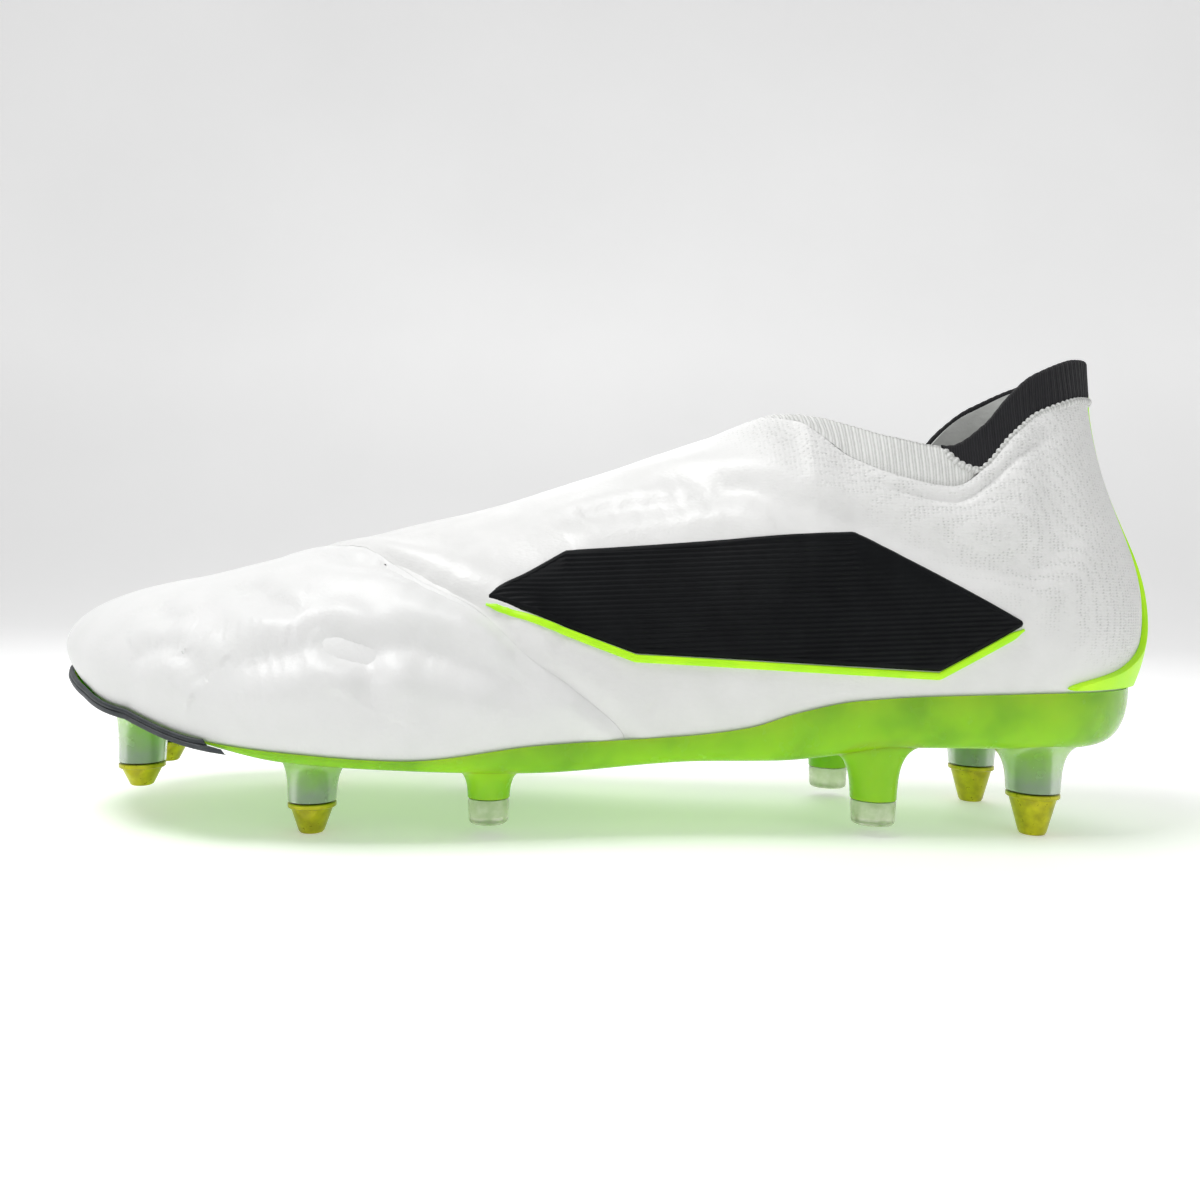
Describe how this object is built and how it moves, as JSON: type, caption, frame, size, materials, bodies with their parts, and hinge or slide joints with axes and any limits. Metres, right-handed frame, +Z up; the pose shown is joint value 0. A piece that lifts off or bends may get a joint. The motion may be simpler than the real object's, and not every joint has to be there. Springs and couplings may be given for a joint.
{
  "type": "soccer cleat",
  "caption": "Laceless soft-ground soccer cleat for the left foot: knit collar, padded leather forefoot, moulded sole plate and screw-in metal studs.",
  "frame": {"origin": "on the ground under the middle of the shoe's box, with the shoe standing on its ball and heel studs", "axes": "+X from the toe to the heel, +Y towards the inner (medial) side of the left foot, +Z up"},
  "size_m": [0.2814, 0.0968, 0.1185],
  "materials": {
    "leather": "soft satin white leather with a fine grain and a pearly sheen",
    "knit": "white engineered knit with a thin matt coating",
    "cuff_knit": "white stretch rib knit",
    "black_knit": "black stretch rib knit",
    "black_rubber": "matt black moulded rubber with fine ribs",
    "lime_rubber": "fluorescent lime moulded edge",
    "lime_film": "fluorescent lime heel film, satin",
    "foam": "open-cell foam",
    "lining": "light grey brushed lining",
    "stiffener": "thermoplastic stiffener",
    "board": "non-woven lasting board",
    "steel": "bright steel",
    "brass": "machined brass",
    "stud_metal": "olive yellow anodised aluminium, lightly worn at the foot",
    "stud_base": "translucent grey green moulded polyurethane",
    "plate": "translucent lime green moulded polyurethane, glossy",
    "clear": "clear moulded polyurethane, glossy",
    "rim": "dark charcoal rubbery edge",
    "cover": "dark brushed textile top cloth"
  },
  "bodies": {
    "root": {"vamp": "leather", "knit_quarter": "knit", "collar_cuff": "cuff_knit", "heel_collar": "black_knit", "heel_spine": "lime_film", "heel_badge": "black_rubber", "side_panel_lateral": "black_rubber", "side_panel_medial": "black_rubber", "panel_piping_lateral": "lime_rubber", "panel_piping_medial": "lime_rubber", "vamp_padding": "foam", "vamp_lining": "lining", "heel_lining": "lining", "toe_puff": "stiffener", "heel_counter": "stiffener", "ankle_foam_lateral": "foam", "ankle_foam_medial": "foam", "lasting_board": "board", "bottom_filler": "foam", "shank": "steel", "heel_cushion": "foam", "sockliner": "foam", "sockliner_cover": "cover", "outsole_plate": "plate", "toe_rim": "rim", "clear_tip_forefoot_lateral": "clear", "clear_tip_forefoot_medial": "clear", "clear_tip_heel_front_lateral": "clear", "clear_tip_heel_front_medial": "clear", "stud_base_toe_lateral": "stud_base", "stud_insert_toe_lateral": "brass", "stud_base_toe_medial": "stud_base", "stud_insert_toe_medial": "brass", "stud_base_ball_lateral": "stud_base", "stud_insert_ball_lateral": "brass", "stud_base_ball_medial": "stud_base", "stud_insert_ball_medial": "brass", "stud_base_heel_lateral": "stud_base", "stud_insert_heel_lateral": "brass", "stud_base_heel_medial": "stud_base", "stud_insert_heel_medial": "brass"},
    "post_toe_lateral": {"stud_post_toe_lateral": "steel"},
    "tip_toe_lateral": {"stud_tip_toe_lateral": "stud_metal"},
    "post_toe_medial": {"stud_post_toe_medial": "steel"},
    "tip_toe_medial": {"stud_tip_toe_medial": "stud_metal"},
    "post_ball_lateral": {"stud_post_ball_lateral": "steel"},
    "tip_ball_lateral": {"stud_tip_ball_lateral": "stud_metal"},
    "post_ball_medial": {"stud_post_ball_medial": "steel"},
    "tip_ball_medial": {"stud_tip_ball_medial": "stud_metal"},
    "post_heel_lateral": {"stud_post_heel_lateral": "steel"},
    "tip_heel_lateral": {"stud_tip_heel_lateral": "stud_metal"},
    "post_heel_medial": {"stud_post_heel_medial": "steel"},
    "tip_heel_medial": {"stud_tip_heel_medial": "stud_metal"}
  },
  "joints": [
    {"name": "stud_travel_toe_lateral", "type": "slide", "parent": "root", "child": "post_toe_lateral", "axis": [0, 0, -1], "range_m": [0, 0.00625]},
    {"name": "stud_turn_toe_lateral", "type": "hinge", "parent": "post_toe_lateral", "child": "tip_toe_lateral", "pos_m": [-0.11436, -0.01651, 0], "axis": [0, 0, -1], "range_deg": [0, 1800]},
    {"name": "stud_travel_toe_medial", "type": "slide", "parent": "root", "child": "post_toe_medial", "axis": [0, 0, -1], "range_m": [0, 0.00625]},
    {"name": "stud_turn_toe_medial", "type": "hinge", "parent": "post_toe_medial", "child": "tip_toe_medial", "pos_m": [-0.12134, 0.01356, 0], "axis": [0, 0, -1], "range_deg": [0, 1800]},
    {"name": "stud_travel_ball_lateral", "type": "slide", "parent": "root", "child": "post_ball_lateral", "axis": [0, 0, -1], "range_m": [0, 0.00625]},
    {"name": "stud_turn_ball_lateral", "type": "hinge", "parent": "post_ball_lateral", "child": "tip_ball_lateral", "pos_m": [-0.06759, -0.03106, 0], "axis": [0, 0, -1], "range_deg": [0, 1800]},
    {"name": "stud_travel_ball_medial", "type": "slide", "parent": "root", "child": "post_ball_medial", "axis": [0, 0, -1], "range_m": [0, 0.00625]},
    {"name": "stud_turn_ball_medial", "type": "hinge", "parent": "post_ball_medial", "child": "tip_ball_medial", "pos_m": [-0.08364, 0.02714, 0], "axis": [0, 0, -1], "range_deg": [0, 1800]},
    {"name": "stud_travel_heel_lateral", "type": "slide", "parent": "root", "child": "post_heel_lateral", "axis": [0, 0, -1], "range_m": [0, 0.00625]},
    {"name": "stud_turn_heel_lateral", "type": "hinge", "parent": "post_heel_lateral", "child": "tip_heel_lateral", "pos_m": [0.10593, -0.01942, 0], "axis": [0, 0, -1], "range_deg": [0, 1800]},
    {"name": "stud_travel_heel_medial", "type": "slide", "parent": "root", "child": "post_heel_medial", "axis": [0, 0, -1], "range_m": [0, 0.00625]},
    {"name": "stud_turn_heel_medial", "type": "hinge", "parent": "post_heel_medial", "child": "tip_heel_medial", "pos_m": [0.10593, 0.01938, 0], "axis": [0, 0, -1], "range_deg": [0, 1800]}
  ],
  "couplings": [
    {"joint": "stud_turn_toe_lateral", "follows": "stud_travel_toe_lateral", "rad_per_m": 5026.5},
    {"joint": "stud_turn_toe_medial", "follows": "stud_travel_toe_medial", "rad_per_m": 5026.5},
    {"joint": "stud_turn_ball_lateral", "follows": "stud_travel_ball_lateral", "rad_per_m": 5026.5},
    {"joint": "stud_turn_ball_medial", "follows": "stud_travel_ball_medial", "rad_per_m": 5026.5},
    {"joint": "stud_turn_heel_lateral", "follows": "stud_travel_heel_lateral", "rad_per_m": 5026.5},
    {"joint": "stud_turn_heel_medial", "follows": "stud_travel_heel_medial", "rad_per_m": 5026.5}
  ]
}
